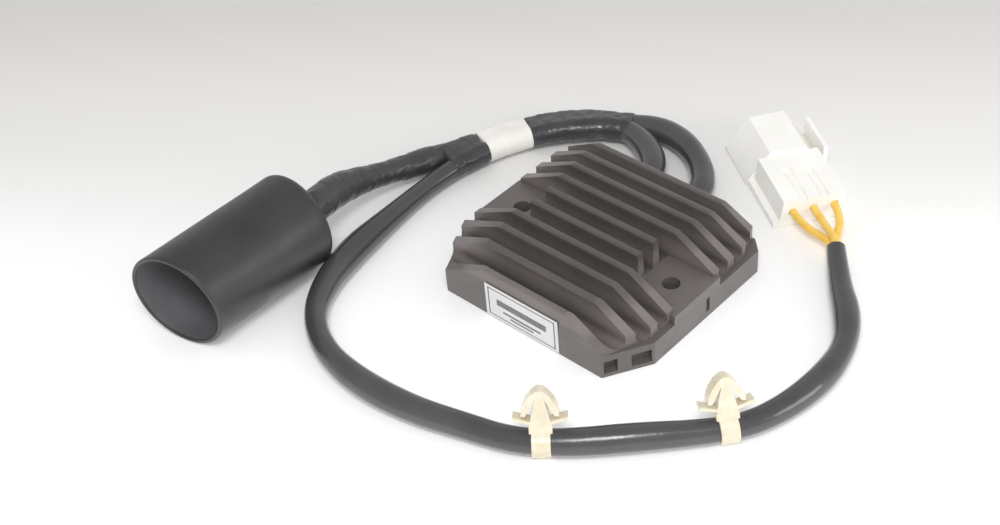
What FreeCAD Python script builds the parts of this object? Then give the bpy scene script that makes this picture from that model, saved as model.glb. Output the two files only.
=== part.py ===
"""Voltage regulator rectifier of a motorcycle charging system, in millimetres.

Frame: +Z up, X along the cooling fins, -Y towards the labelled side, origin on the
floor under the middle of the cast housing. The two sleeved leads leave the rear side (+Y).
"""
import FreeCAD, Part
import math
import os
import re

import Sketcher

Vector = FreeCAD.Vector
Rotation = FreeCAD.Rotation
Placement = FreeCAD.Placement

UP = Vector(0, 0, 1)

# Driving dimensions

SIZES = {
    # cast housing
    "body_length": 93.2,
    "body_width": 81.6,
    "plate_height": 9.9,
    "casting_height": 25.2,
    "right_corner_reach": 9.9,
    "right_corner_run": 16.6,
    "left_corner_reach": 10.2,
    "left_corner_run": 20.8,
    "rear_corner": 4.8,
    # fin comb
    "fin_pitch": 8.7,
    "valley_mouth": 5.9,
    "valley_root": 5.1,
    "valley_floor": 10.5,
    "fin_end_height": 15.2,
    "fin_ledge": 1.9,
    "right_corner_slope": 0.44,
    "left_corner_slope": 0.45,
    "rear_corner_slope": 0.4,
    "fin_corner_run": 17.8,
    "fin_rear_run": 10.5,
    "side_draft": 0.8,
    "right_knee": 26.7,
    "left_knee": 25.8,
    "right_knee_run": 16.0,
    "left_knee_run": 23.5,
    "rear_knee_run": 12.0,
    "fin_edge_radius": 1.1,
    "first_fin_drop": 4.9,
    "first_fin_room": 5.8,
    "front_crown_start": 26.0,
    "front_crown_slope": 0.34,
    "rear_crown_start": 17.0,
    "rear_crown_slope": 0.14,
    # mounting ends
    "hole_spacing": 70.0,
    "hole_radius": 3.3,
    "pad_inner": 25.0,
    "pad_height": 13.6,
    # underside
    "end_web": 20.6,
    "side_wall": 3.8,
    "cavity_depth": 6.4,
    "core_depth": 5.0,
    "core_length": 11.0,
    "core_width": 14.0,
    "core_margin": 5.6,
    "core_start": 13.5,
    "relief_depth": 2.6,
    "relief_low": 1.6,
    "relief_high": 7.2,
    "relief_rib": 5.0,
    "relief_wide": 7.4,
    "relief_narrow": 5.0,
    "relief_shift": 1.2,
    "notch_width": 2.0,
    "notch_depth": 0.8,
    "notch_place": 6.0,
    "notch_low": 2.6,
    "notch_high": 8.6,
    # sealed electronics
    "potting_recess": 0.4,
    "substrate_play": 3.0,
    "substrate_side_play": 4.0,
    "substrate_height": 1.5,
    "device_length": 8.0,
    "device_width": 9.0,
    "device_height": 1.4,
    "device_pitch": 14.0,
    "device_row": 20.0,
    "board_length": 40.0,
    "board_width": 26.0,
    "board_height": 1.2,
    "board_lift": 2.3,
    "chip_length": 9.0,
    "chip_width": 6.0,
    "chip_height": 1.2,
    # label
    "label_length": 34.0,
    "label_height": 14.6,
    "label_thickness": 0.2,
    "label_place": 0.6,
    "label_lift": 0.4,
    # leads and grommets
    "sleeve_radius": 4.2,
    "tape_thickness": 0.6,
    "output_exit": 8.0,
    "stator_exit": -13.0,
    "exit_height": 5.6,
    "neck_radius": 5.2,
    "flange_radius": 5.4,
    "flange_thickness": 1.2,
    "relief_length": 2.8,
    "relief_taper": 11.0,
    # rubber boot
    "boot_radius": 19.1,
    "boot_wall": 1.6,
    "boot_length": 60.0,
    "boot_end": 3.0,
    "boot_corner": 4.0,
    "boot_slant": 13.0,
    "boot_place": -92.7,
    "boot_back": -58.6,
    # connector inside the boot
    "plug_setback": 14.0,
    "plug_length": 26.0,
    "plug_width": 26.8,
    "plug_height": 20.2,
    "plug_bay_width": 9.4,
    "plug_bay_height": 6.0,
    "plug_bay_depth": 18.0,
    "plug_bay_pitch": 11.6,
    "plug_bay_rise": 8.0,
    "sleeve_tail": 4.0,
    "lead_radius": 1.5,
    "blade_width": 6.3,
    "blade_thickness": 0.8,
    # white connector on the stator lead
    "hood_length": 24.5,
    "hood_width": 33.0,
    "hood_top_width": 14.4,
    "hood_height": 13.2,
    "hood_foot": 1.2,
    "hood_wall": 2.0,
    "hood_depth": 19.0,
    "tail_length": 28.0,
    "tail_width": 31.6,
    "tail_rail": 2.6,
    "tail_height": 11.6,
    "tail_top_width": 24.0,
    "tail_groove": 1.7,
    "tail_groove_length": 19.0,
    "barrel_pitch": 8.2,
    "barrel_lift": 6.2,
    "wire_radius": 1.4,
    "wire_play": 0.15,
    "wire_depth": 4.0,
    "latch_length": 20.0,
    "latch_thickness": 1.6,
    "latch_place": 14.4,
    "latch_start": 25.5,
    "stator_blade_width": 4.0,
    "stator_blade_length": 11.0,
    "stator_blade_lift": 5.4,
    # harness clips
    "strap_thickness": 0.8,
    "strap_play": 0.1,
    "strap_width": 6.2,
    "clip_thickness": 5.2,
    "buckle_width": 7.6,
    "buckle_top": 6.9,
    "stem_root": 3.3,
    "wing_reach": 9.0,
    "wing_lift": 8.6,
    "wing_rise": 1.6,
    "wing_thickness": 1.1,
    "barb_foot": 10.4,
    "barb_reach": 6.3,
    "barb_thickness": 1.5,
    "slot_place": 1.5,
    "slot_top": 16.4,
    "clip_top": 19.5,
    "clip_lean": 20.0,
}

# Routes of the leads: points chosen along the line that each sleeve follows. They start at a
# grommet and run straight between tangent arcs.

OUTPUT_ROUTE = [
    (8.0, 44.8, 5.6), (7.6, 54.2, 5.3), (3.6, 64.4, 5.0), (-5.6, 73.4, 4.9),
    (-18.2, 78.9, 4.9), (-31.8, 80.0, 4.9), (-45.7, 75.7, 4.9), (-58.5, 67.2, 4.9),
    (-69.6, 55.6, 4.9), (-77.8, 41.3, 4.9), (-84.3, 25.3, 5.0), (-90.0, 8.5, 5.9),
    (-94.5, -8.5, 8.8), (-96.8, -24.0, 13.1), (-96.2, -38.5, 17.0), (-92.7, -52.0, 19.1),
    (-92.7, -65.6, 19.1),
]

STATOR_ROUTE = [
    (-13.0, 44.8, 5.6), (-14.6, 53.5, 5.4), (-19.9, 60.9, 5.5), (-28.8, 66.1, 6.0),
    (-39.8, 66.8, 6.4), (-51.8, 61.2, 6.5), (-62.6, 50.6, 6.5), (-70.0, 37.7, 6.5),
    (-76.0, 22.5, 6.2), (-79.5, 6.0, 5.2), (-80.0, -12.0, 4.4), (-78.2, -31.0, 4.3),
    (-74.9, -50.0, 4.3), (-70.8, -68.5, 4.3), (-61.8, -83.5, 4.3), (-44.5, -92.5, 4.3),
    (-23.0, -96.5, 4.3), (0.0, -96.0, 4.3), (19.5, -92.0, 4.6), (36.6, -84.6, 5.2),
    (49.8, -73.4, 5.2), (65.5, -58.6, 4.7), (81.6, -43.0, 5.2), (91.2, -31.0, 5.2),
    (96.2, -15.0, 4.5), (97.3, 2.0, 4.3), (95.0, 19.0, 4.3), (88.4, 33.0, 4.4),
    (78.0, 46.6, 5.0), (65.2, 58.0, 6.0),
]

# Document and its sheet of sizes

doc = FreeCAD.newDocument("regulator_rectifier")
sheet = doc.addObject("Spreadsheet::Sheet", "sizes")
for row, (alias, value) in enumerate(SIZES.items(), start=1):
    cell = "B%d" % row
    sheet.set("A%d" % row, alias)
    sheet.set(cell, str(value))
    sheet.setAlias(cell, alias)
doc.recompute()

SUB_PARTS = []


def formula(text):
    """The expression with each size's name written as a reference into the sheet."""
    def refer(match):
        word = match.group(0)
        return "sizes." + word if word in SIZES else word
    return re.sub(r"[a-z][a-z_]*", refer, str(text))


def number(text):
    """The value of an expression of sizes."""
    return float(sheet.evalExpression(formula(text)))


def bind(item, prop, text):
    item.setExpression(prop, formula(text))


def sub_part(item, label):
    item.Label = label
    SUB_PARTS.append(item)
    return item


# Sketch helpers

def new_body(label):
    return sub_part(doc.addObject("PartDesign::Body", label), label)


def origin_feature(body, role):
    return [feature for feature in body.Origin.OriginFeatures if feature.Role == role][0]


def new_sketch(body, name, role="XY_Plane", lift=None):
    sketch = body.newObject("Sketcher::SketchObject", body.Name + "_" + name)
    sketch.AttachmentSupport = [(origin_feature(body, role), "")]
    sketch.MapMode = "FlatFace"
    if lift is not None:
        bind(sketch, "AttachmentOffset.Base.z", lift)
    return sketch


def fix_point(sketch, geometry, end, x, y):
    for kind, text in (("DistanceX", x), ("DistanceY", y)):
        index = sketch.addConstraint(Sketcher.Constraint(kind, -1, 1, geometry, end, number(text)))
        bind(sketch, "Constraints[%d]" % index, text)


def add_polygon(sketch, corners):
    """A closed loop of straight edges through corners given as pairs of formulas."""
    points = [Vector(number(x), number(y), 0) for x, y in corners]
    first = sketch.GeometryCount
    for start, end in zip(points, points[1:] + points[:1]):
        sketch.addGeometry(Part.LineSegment(start, end), False)
    for i, (x, y) in enumerate(corners):
        following = first + (i + 1) % len(corners)
        sketch.addConstraint(Sketcher.Constraint("Coincident", first + i, 2, following, 1))
        fix_point(sketch, first + i, 1, x, y)


def add_rectangle(sketch, x_low, x_high, y_low, y_high):
    add_polygon(sketch, [(x_low, y_low), (x_high, y_low), (x_high, y_high), (x_low, y_high)])


def add_circle(sketch, x, y, radius):
    circle = Part.Circle(Vector(number(x), number(y), 0), UP, number(radius))
    geometry = sketch.addGeometry(circle, False)
    fix_point(sketch, geometry, 3, x, y)
    index = sketch.addConstraint(Sketcher.Constraint("Radius", geometry, number(radius)))
    bind(sketch, "Constraints[%d]" % index, radius)


def add_arch(sketch, centre_y, radius, mouth_half, mouth_y, side=1):
    """A slot about the sketch's Y axis with one round end and a wider, straight mouth."""
    centre = Vector(0, number(centre_y), 0)
    reach = number(radius)
    low, high = (math.pi, 2 * math.pi) if side > 0 else (0, math.pi)
    arc = sketch.addGeometry(Part.ArcOfCircle(Part.Circle(centre, UP, reach), low, high), False)
    start, end = (-1, 1) if side > 0 else (1, -1)
    corners = [Vector(end * reach, centre.y, 0),
               Vector(end * number(mouth_half), number(mouth_y), 0),
               Vector(start * number(mouth_half), number(mouth_y), 0),
               Vector(start * reach, centre.y, 0)]
    lines = []
    for a, b in zip(corners, corners[1:]):
        lines.append(sketch.addGeometry(Part.LineSegment(a, b), False))
    fix_point(sketch, arc, 3, "0", centre_y)
    index = sketch.addConstraint(Sketcher.Constraint("Radius", arc, reach))
    bind(sketch, "Constraints[%d]" % index, radius)
    for point in (1, 2):
        index = sketch.addConstraint(
            Sketcher.Constraint("DistanceY", -1, 1, arc, point, number(centre_y)))
        bind(sketch, "Constraints[%d]" % index, centre_y)
    sketch.addConstraint(Sketcher.Constraint("Coincident", arc, 2, lines[0], 1))
    sketch.addConstraint(Sketcher.Constraint("Coincident", lines[0], 2, lines[1], 1))
    sketch.addConstraint(Sketcher.Constraint("Coincident", lines[1], 2, lines[2], 1))
    sketch.addConstraint(Sketcher.Constraint("Coincident", lines[2], 2, arc, 1))
    sign_end, sign_start = ("", "-") if side > 0 else ("-", "")
    fix_point(sketch, lines[1], 1, "%s(%s)" % (sign_end, mouth_half), mouth_y)
    fix_point(sketch, lines[1], 2, "%s(%s)" % (sign_start, mouth_half), mouth_y)


def extrude(body, kind, sketch, length, symmetric=False):
    feature = body.newObject("PartDesign::" + kind, sketch.Name + "_" + kind.lower())
    feature.Profile = sketch
    if symmetric:
        feature.SideType = "Symmetric"
    bind(feature, "Length", length)
    return feature


def pad(body, sketch, length, symmetric=False):
    return extrude(body, "Pad", sketch, length, symmetric)


def cut(body, sketch, length):
    """A pocket to both sides of its sketch, so that it cuts whichever side has metal."""
    return extrude(body, "Pocket", sketch, length, True)


def round_edges(body, name, radius, wanted):
    """A fillet on the edges of the body's tip whose two end points pass the test."""
    doc.recompute()
    tip = body.Tip
    names = []
    for i, edge in enumerate(tip.Shape.Edges, start=1):
        if len(edge.Vertexes) == 2 and wanted(edge.Vertexes[0].Point, edge.Vertexes[1].Point):
            names.append("Edge%d" % i)
        elif len(edge.Vertexes) == 1 and wanted(edge.Vertexes[0].Point, edge.Vertexes[0].Point):
            names.append("Edge%d" % i)
    fillet = body.newObject("PartDesign::Fillet", body.Name + "_" + name)
    fillet.Base = (tip, names)
    bind(fillet, "Radius", radius)
    return fillet


def place(item, x="0", y="0", z="0"):
    for axis, text in (("x", x), ("y", y), ("z", z)):
        bind(item, "Placement.Base." + axis, text)


# Part helpers

def block(label, size, corner, own=True):
    """A box with formulas for its three sizes and for its lowest corner."""
    box = doc.addObject("Part::Box", label)
    for prop, text in zip(("Length", "Width", "Height"), size):
        bind(box, prop, text)
    place(box, *corner)
    if own:
        sub_part(box, label)
    return box


def rod(label, radius, length, foot, axis, own=True):
    """A cylinder with its foot at a point, along a direction."""
    cylinder = doc.addObject("Part::Cylinder", label)
    bind(cylinder, "Radius", radius)
    bind(cylinder, "Height", length)
    cylinder.Placement = Placement(Vector(), Rotation(UP, axis))
    place(cylinder, *foot)
    if own:
        sub_part(cylinder, label)
    return cylinder


# Cord helpers

RUN_SHARE = 0.45


def cord_path(points, name=None):
    """Straight runs joined by tangent arcs, each arc as large as its two runs allow."""
    corners = [Vector(*point) for point in points]
    edges = []
    radii = []
    last = corners[0]
    for before, corner, after in zip(corners, corners[1:], corners[2:]):
        back = before - corner
        ahead = after - corner
        reach = RUN_SHARE * min(back.Length, ahead.Length)
        back.normalize()
        ahead.normalize()
        half_turn = (math.pi - back.getAngle(ahead)) / 2
        radii.append(reach / math.tan(half_turn))
        start = corner + back * reach
        end = corner + ahead * reach
        towards = back + ahead
        towards.normalize()
        middle = corner + towards * (radii[-1] / math.cos(half_turn) - radii[-1])
        edges.append(Part.LineSegment(last, start).toShape())
        edges.append(Part.Arc(start, middle, end).toShape())
        last = end
    edges.append(Part.LineSegment(last, corners[-1]).toShape())
    path = Part.Wire(edges)
    if name:
        print("%s: length %.1f, smallest radius %.1f" % (name, path.Length, min(radii)))
        print("  radii " + " ".join("%.0f" % radius for radius in radii))
    return path


def round_tube(points, radius, name=None, flush=False):
    """A solid round cord along a route; a flush one starts with a face square to Y."""
    path = cord_path(points, name)
    start = Vector(*points[0])
    along = Vector(*points[1]) - start
    along.normalize()
    if flush:
        edges = [Part.LineSegment(start - along * radius, start).toShape()] + path.Edges
        path = Part.Wire(edges)
        start = start - along * radius
    ring = Part.Wire([Part.Circle(start, along, radius).toShape()])
    tube = path.makePipeShell([ring], True, False)
    if flush:
        corner = Vector(points[0][0] - 3 * radius, points[0][1] - 4 * radius, -radius)
        tube = tube.cut(Part.makeBox(6 * radius, 4 * radius, 5 * radius, corner))
    if name:
        share = tube.Volume / (math.pi * radius ** 2 * cord_path(points).Length)
        print("  volume against section times length %.4f" % share)
    return tube


def cord_part(label, shape):
    item = doc.addObject("Part::Feature", label)
    item.Shape = shape
    return sub_part(item, label)


def between(first, second, share=0.5):
    return tuple(a + (b - a) * share for a, b in zip(first, second))


# Cast housing with its fins

HALF_LENGTH = "body_length / 2"
HALF_WIDTH = "body_width / 2"
CAVITY_LENGTH = "(body_length - 2 * end_web)"
CAVITY_WIDTH = "(body_width - 2 * side_wall)"
SUBSTRATE_LENGTH = "(%s - 2 * substrate_play)" % CAVITY_LENGTH
SUBSTRATE_WIDTH = "(%s - 2 * substrate_side_play)" % CAVITY_WIDTH


def plate_outline():
    return [
        ("-(%s) + left_corner_reach" % HALF_LENGTH, "-(%s)" % HALF_WIDTH),
        ("%s - right_corner_reach" % HALF_LENGTH, "-(%s)" % HALF_WIDTH),
        (HALF_LENGTH, "-(%s) + right_corner_run" % HALF_WIDTH),
        (HALF_LENGTH, "%s - rear_corner" % HALF_WIDTH),
        ("%s - rear_corner" % HALF_LENGTH, HALF_WIDTH),
        ("-(%s) + rear_corner" % HALF_LENGTH, HALF_WIDTH),
        ("-(%s)" % HALF_LENGTH, "%s - rear_corner" % HALF_WIDTH),
        ("-(%s)" % HALF_LENGTH, "-(%s) + left_corner_run" % HALF_WIDTH),
    ]


RIGHT_END = "%s - fin_ledge" % HALF_LENGTH
LEFT_END = "-(%s) + fin_ledge / 2" % HALF_LENGTH


def front_ends(left, left_run, right, right_run, inset):
    """The two X places where a front edge meets the slanted corners, some way in from the front."""
    return ("%s + (%s - %s) * left_corner_slope" % (left, left_run, inset),
            "%s - (%s - %s) * right_corner_slope" % (right, right_run, inset))


def fin_outline():
    """Outline of the fin block where its slopes end, from the second fin to the rear."""
    front = "-(%s) + first_fin_room" % HALF_WIDTH
    low, high = front_ends(LEFT_END, "left_corner_run", RIGHT_END, "fin_corner_run", "first_fin_room")
    return [
        (low, front),
        (high, front),
        (RIGHT_END, "-(%s) + fin_corner_run" % HALF_WIDTH),
        (RIGHT_END, "%s - fin_rear_run" % HALF_WIDTH),
        ("%s - fin_rear_run * rear_corner_slope" % RIGHT_END, HALF_WIDTH),
        ("%s + rear_corner" % LEFT_END, HALF_WIDTH),
        (LEFT_END, "%s - rear_corner" % HALF_WIDTH),
        (LEFT_END, "-(%s) + left_corner_run" % HALF_WIDTH),
    ]


def crest_outline():
    """Outline of the fins' flat crests, with each edge parallel to the one below it."""
    front = "-(%s) + first_fin_room" % HALF_WIDTH
    rear = "%s - side_draft" % HALF_WIDTH
    low, high = front_ends("-left_knee", "left_knee_run", "right_knee", "right_knee_run",
                           "first_fin_room")
    return [
        (low, front),
        (high, front),
        ("right_knee", "-(%s) + right_knee_run" % HALF_WIDTH),
        ("right_knee", "%s - rear_knee_run" % rear),
        ("right_knee - rear_knee_run * rear_corner_slope", rear),
        ("-left_knee + rear_corner / 2", rear),
        ("-left_knee", "%s - rear_corner / 2" % rear),
        ("-left_knee", "-(%s) + left_knee_run" % HALF_WIDTH),
    ]


def first_fin_outlines():
    """Foot and crest of the low first fin, as wide as its room in front of the others."""
    back = "-(%s) + first_fin_room" % HALF_WIDTH
    outlines = []
    for left, left_run, right, right_run, draft in (
            (LEFT_END, "left_corner_run", RIGHT_END, "fin_corner_run", "0"),
            ("-left_knee", "left_knee_run", "right_knee", "right_knee_run", "side_draft")):
        front_low, front_high = front_ends(left, left_run, right, right_run, draft)
        back_low, back_high = front_ends(left, left_run, right, right_run, "first_fin_room")
        front = "-(%s) + %s" % (HALF_WIDTH, draft)
        outlines.append([(front_low, front), (front_high, front), (back_high, back), (back_low, back)])
    return outlines


VALLEYS = 9
LOWER_SLOPE = "fin_end_height"
PAD_HALF_WIDTH = "fin_pitch + valley_root / 2"


def build_housing():
    body = new_body("heat_sink_housing")

    plate = new_sketch(body, "plate")
    add_polygon(plate, plate_outline())
    pad(body, plate, "plate_height")

    build_fin_block(body, "fins", fin_outline(), crest_outline(), "0")
    build_fin_block(body, "first_fin", *first_fin_outlines(), "first_fin_drop")

    crown = new_sketch(body, "crown", "YZ_Plane")
    for side, kind in (("-", "front"), ("", "rear")):
        start = "%s%s_crown_start" % (side, kind)
        end = "%sbody_width" % side
        fall = "(body_width - %s_crown_start) * %s_crown_slope" % (kind, kind)
        add_polygon(crown, [(start, "casting_height"), (end, "casting_height - %s" % fall),
                            (end, "casting_height")])
    cut(body, crown, "body_length * 1.2")

    valley = new_sketch(body, "valley", "YZ_Plane")
    add_arch(valley, "valley_floor + valley_root / 2", "valley_root / 2",
             "valley_mouth / 2", "casting_height + 1")
    groove = cut(body, valley, "body_length * 1.2")
    comb = body.newObject("PartDesign::LinearPattern", "housing_valleys")
    comb.Originals = [groove]
    comb.Direction = (origin_feature(body, "Y_Axis"), [""])
    comb.Occurrences = VALLEYS
    bind(comb, "Length", "fin_pitch * %d" % (VALLEYS - 1))
    body.Tip = comb
    bind(valley, "AttachmentOffset.Base.x", "-fin_pitch * %d" % (VALLEYS // 2))

    pads = new_sketch(body, "pads", lift="plate_height - 1")
    recess = new_sketch(body, "recess", lift="casting_height")
    for side in ("", "-"):
        inner = "%spad_inner" % side
        outer = "%s(%s)" % (side, HALF_LENGTH)
        beyond = "%s(%s + 5)" % (side, HALF_LENGTH)
        add_rectangle(pads, inner, outer, "-fin_pitch * 1.5", "fin_pitch * 1.5")
        add_rectangle(recess, inner, beyond,
                      "-(%s)" % PAD_HALF_WIDTH, PAD_HALF_WIDTH)
    pad(body, pads, "pad_height - plate_height + 1")
    cut(body, recess, "2 * (casting_height - pad_height)")

    lowest_crest = number("casting_height - first_fin_drop") - 0.05

    def is_crest_edge(start, end):
        return abs(start.x - end.x) > 20 and min(start.z, end.z) > lowest_crest
    round_edges(body, "fin_edges", "fin_edge_radius", is_crest_edge)

    holes = new_sketch(body, "holes")
    for side in ("", "-"):
        add_circle(holes, "%shole_spacing / 2" % side, "0", "hole_radius")
    cut(body, holes, "casting_height * 2.2")

    cavity = new_sketch(body, "cavity")
    add_rectangle(cavity, "-%s / 2" % CAVITY_LENGTH, "%s / 2" % CAVITY_LENGTH,
                  "-%s / 2" % CAVITY_WIDTH, "%s / 2" % CAVITY_WIDTH)
    cut(body, cavity, "2 * cavity_depth")

    cores = new_sketch(body, "cores")
    for x_side in ("", "-"):
        for y_side in ("", "-"):
            outer = "(%s - core_margin)" % HALF_LENGTH
            add_rectangle(cores, "%s(%s - core_length)" % (x_side, outer), "%s%s" % (x_side, outer),
                          "%score_start" % y_side, "%s(core_start + core_width)" % y_side)
    cut(body, cores, "2 * core_depth")

    build_corner_reliefs(body)

    side_notch = new_sketch(body, "side_notch", lift="(notch_low + notch_high) / 2")
    add_rectangle(side_notch, "%s - notch_depth" % HALF_LENGTH, "%s + 2" % HALF_LENGTH,
                  "notch_place - notch_width / 2", "notch_place + notch_width / 2")
    cut(body, side_notch, "notch_high - notch_low")

    for name, exit_place in (("output", "output_exit"), ("stator", "stator_exit")):
        gate = new_sketch(body, name + "_gate", "XZ_Plane", "-(%s)" % HALF_WIDTH)
        add_arch(gate, "exit_height", "neck_radius", "neck_radius", "-1", side=-1)
        bind(gate, "AttachmentOffset.Base.x", exit_place)
        cut(body, gate, "2 * side_wall")
    return body


def build_fin_block(body, name, foot_corners, crest_corners, drop):
    """Upright foot on the plate and sloping ends above it, all lowered by a drop."""
    foot = new_sketch(body, name + "_foot", lift="plate_height")
    add_polygon(foot, foot_corners)
    pad(body, foot, "fin_end_height - %s - plate_height" % drop)
    slope = new_sketch(body, name + "_slope", lift="fin_end_height - %s" % drop)
    add_polygon(slope, foot_corners)
    crest = new_sketch(body, name + "_crest", lift="casting_height - %s" % drop)
    add_polygon(crest, crest_corners)
    loft = body.newObject("PartDesign::AdditiveLoft", "housing_%s_slopes" % name)
    loft.Profile = slope
    loft.Sections = [crest]
    loft.Ruled = True
    doc.recompute()


def build_corner_reliefs(body):
    """Two hollows under the chamfered front corner, with a rib left between them."""
    angle = "atan(right_corner_run / right_corner_reach)"
    sketch = new_sketch(body, "reliefs", lift="(relief_low + relief_high) / 2")
    bind(sketch, "AttachmentOffset.Base.x", "%s - right_corner_reach / 2" % HALF_LENGTH)
    bind(sketch, "AttachmentOffset.Base.y", "-(%s) + right_corner_run / 2" % HALF_WIDTH)
    sketch.AttachmentOffset.Rotation.Axis = UP
    bind(sketch, "AttachmentOffset.Rotation.Angle", angle)
    low_side = "-relief_rib / 2 - relief_shift"
    high_side = "relief_rib / 2 - relief_shift"
    add_rectangle(sketch, "%s - relief_narrow" % low_side, low_side, "-2", "relief_depth")
    add_rectangle(sketch, high_side, "%s + relief_wide" % high_side, "-2", "relief_depth")
    cut(body, sketch, "relief_high - relief_low")


# Sealed electronics and potting

def build_electronics():
    top = "cavity_depth"
    substrate = block("insulated_substrate",
                      (SUBSTRATE_LENGTH, SUBSTRATE_WIDTH, "substrate_height"),
                      ("-%s / 2" % SUBSTRATE_LENGTH, "-%s / 2" % SUBSTRATE_WIDTH,
                       "%s - substrate_height" % top))
    pieces = [substrate]
    floor = "%s - substrate_height - device_height" % top
    for kind, row in (("rectifier_diode", "-device_row"), ("thyristor", "device_row")):
        for i in range(3):
            label = "%s_%d" % (kind, i + 1)
            pieces.append(block(label, ("device_length", "device_width", "device_height"),
                                ("device_pitch * %d - device_length / 2" % (i - 1),
                                 "%s - device_width / 2" % row, floor)))
    board = block("control_board", ("board_length", "board_width", "board_height"),
                  ("-board_length / 2", "-board_width / 2", "board_lift"))
    chip = block("control_chip", ("chip_length", "chip_width", "chip_height"),
                 ("-chip_length / 2", "-chip_width / 2", "board_lift - chip_height"))
    pieces += [board, chip]
    spacers = block("board_spacer", ("chip_length", "board_width / 2",
                                     "%s - substrate_height - board_lift - board_height" % top),
                    ("-chip_length / 2", "-board_width / 4", "board_lift + board_height"))
    pieces.append(spacers)

    filling = block("potting_filling",
                    (CAVITY_LENGTH, CAVITY_WIDTH, "cavity_depth - potting_recess"),
                    ("-%s / 2" % CAVITY_LENGTH, "-%s / 2" % CAVITY_WIDTH, "potting_recess"),
                    own=False)
    inside = doc.addObject("Part::MultiFuse", "potted_pieces")
    inside.Shapes = pieces
    potting = doc.addObject("Part::Cut", "potting_compound")
    potting.Base = filling
    potting.Tool = inside
    sub_part(potting, "potting_compound")


def build_label():
    block("blank_label", ("label_length", "label_thickness", "label_height"),
          ("label_place - label_length / 2", "-(%s) - label_thickness" % HALF_WIDTH, "label_lift"))


# Grommets in the rear wall

def build_grommet(label, exit_place):
    body = new_body(label)
    body.Placement = Placement(Vector(), Rotation(Vector(1, 0, 0), -90))
    place(body, exit_place, HALF_WIDTH, "exit_height")

    neck = new_sketch(body, "neck", lift="-side_wall")
    add_arch(neck, "0", "neck_radius", "neck_radius", "exit_height - potting_recess", side=1)
    pad(body, neck, "side_wall")

    flange = new_sketch(body, "flange")
    add_circle(flange, "0", "0", "flange_radius")
    pad(body, flange, "flange_thickness")

    cone = new_sketch(body, "cone", lift="flange_thickness")
    add_circle(cone, "0", "0", "flange_radius - 0.1")
    taper = pad(body, cone, "relief_length")
    bind(taper, "TaperAngle", "-relief_taper")
    return body


# Rubber boot over the output connector

def build_boot():
    body = new_body("rubber_boot")
    body.Placement = Placement(Vector(), Rotation(Vector(1, 0, 0), 90))
    place(body, "boot_place", "boot_back", "boot_radius")

    wall = new_sketch(body, "wall")
    add_circle(wall, "0", "0", "boot_radius")
    pad(body, wall, "boot_length + boot_radius * tan(boot_slant)")
    doc.recompute()

    back = number("boot_radius")

    def is_back_edge(start, end):
        return abs(start.z) < 0.01 and start.Length > back - 0.1
    round_edges(body, "back_corner", "boot_corner", is_back_edge)

    inside = new_sketch(body, "inside", lift="boot_length * 2")
    add_circle(inside, "0", "0", "boot_radius - boot_wall")
    cut(body, inside, "2 * (boot_length * 2 - boot_end)")

    bore = new_sketch(body, "bore")
    add_circle(bore, "0", "0", "sleeve_radius")
    cut(body, bore, "boot_end * 4")

    mouth = new_sketch(body, "mouth", "XZ_Plane")
    reach = "(boot_radius + 1)"
    add_polygon(mouth, [
        ("-%s" % reach, "boot_length + %s * tan(boot_slant)" % reach),
        (reach, "boot_length - %s * tan(boot_slant)" % reach),
        (reach, "boot_length * 1.5"),
        ("-%s" % reach, "boot_length * 1.5"),
    ])
    cut(body, mouth, "boot_radius * 3")
    return body


def build_output_connector():
    body = new_body("output_connector")
    body.Placement = Placement(Vector(), Rotation(Vector(1, 0, 0), 90))
    place(body, "boot_place", "boot_back - plug_setback", "boot_radius")

    shell = new_sketch(body, "shell")
    add_rectangle(shell, "-plug_width / 2", "plug_width / 2", "-plug_height / 2", "plug_height / 2")
    pad(body, shell, "plug_length")

    bays = new_sketch(body, "bays", lift="plug_length")
    for x_side in ("", "-"):
        for y_side in ("", "-"):
            x = "%splug_bay_pitch / 2" % x_side
            y = "%splug_bay_rise / 2" % y_side
            add_rectangle(bays, "%s - plug_bay_width / 2" % x, "%s + plug_bay_width / 2" % x,
                          "%s - plug_bay_height / 2" % y, "%s + plug_bay_height / 2" % y)
    cut(body, bays, "2 * plug_bay_depth")

    deep = "boot_back - plug_setback - plug_length + plug_bay_depth"
    blade_length = "plug_bay_depth - 3"
    i = 0
    for x_side in ("", "-"):
        for y_side in ("", "-"):
            i += 1
            block("output_terminal_%d" % i, ("blade_width", blade_length, "blade_thickness"),
                  ("boot_place + (%splug_bay_pitch / 2) - blade_width / 2" % x_side,
                   "%s - (%s)" % (deep, blade_length),
                   "boot_radius + (%splug_bay_rise / 2) - blade_thickness / 2" % y_side))
    for i in range(3):
        rod("output_lead_%d" % (i + 1), "lead_radius",
            "plug_setback - boot_end - sleeve_tail",
            ("boot_place + %d * (lead_radius * 1.7)" % (i - 1),
             "boot_back - boot_end - sleeve_tail",
             "boot_radius + %s" % ("lead_radius" if i == 1 else "-lead_radius * 0.5")),
            Vector(0, -1, 0))


# White three-way connector of the stator lead

CONNECTOR_FOOT = (46.2, 72.2, 0.0)
CONNECTOR_TURN = 145.0


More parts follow.
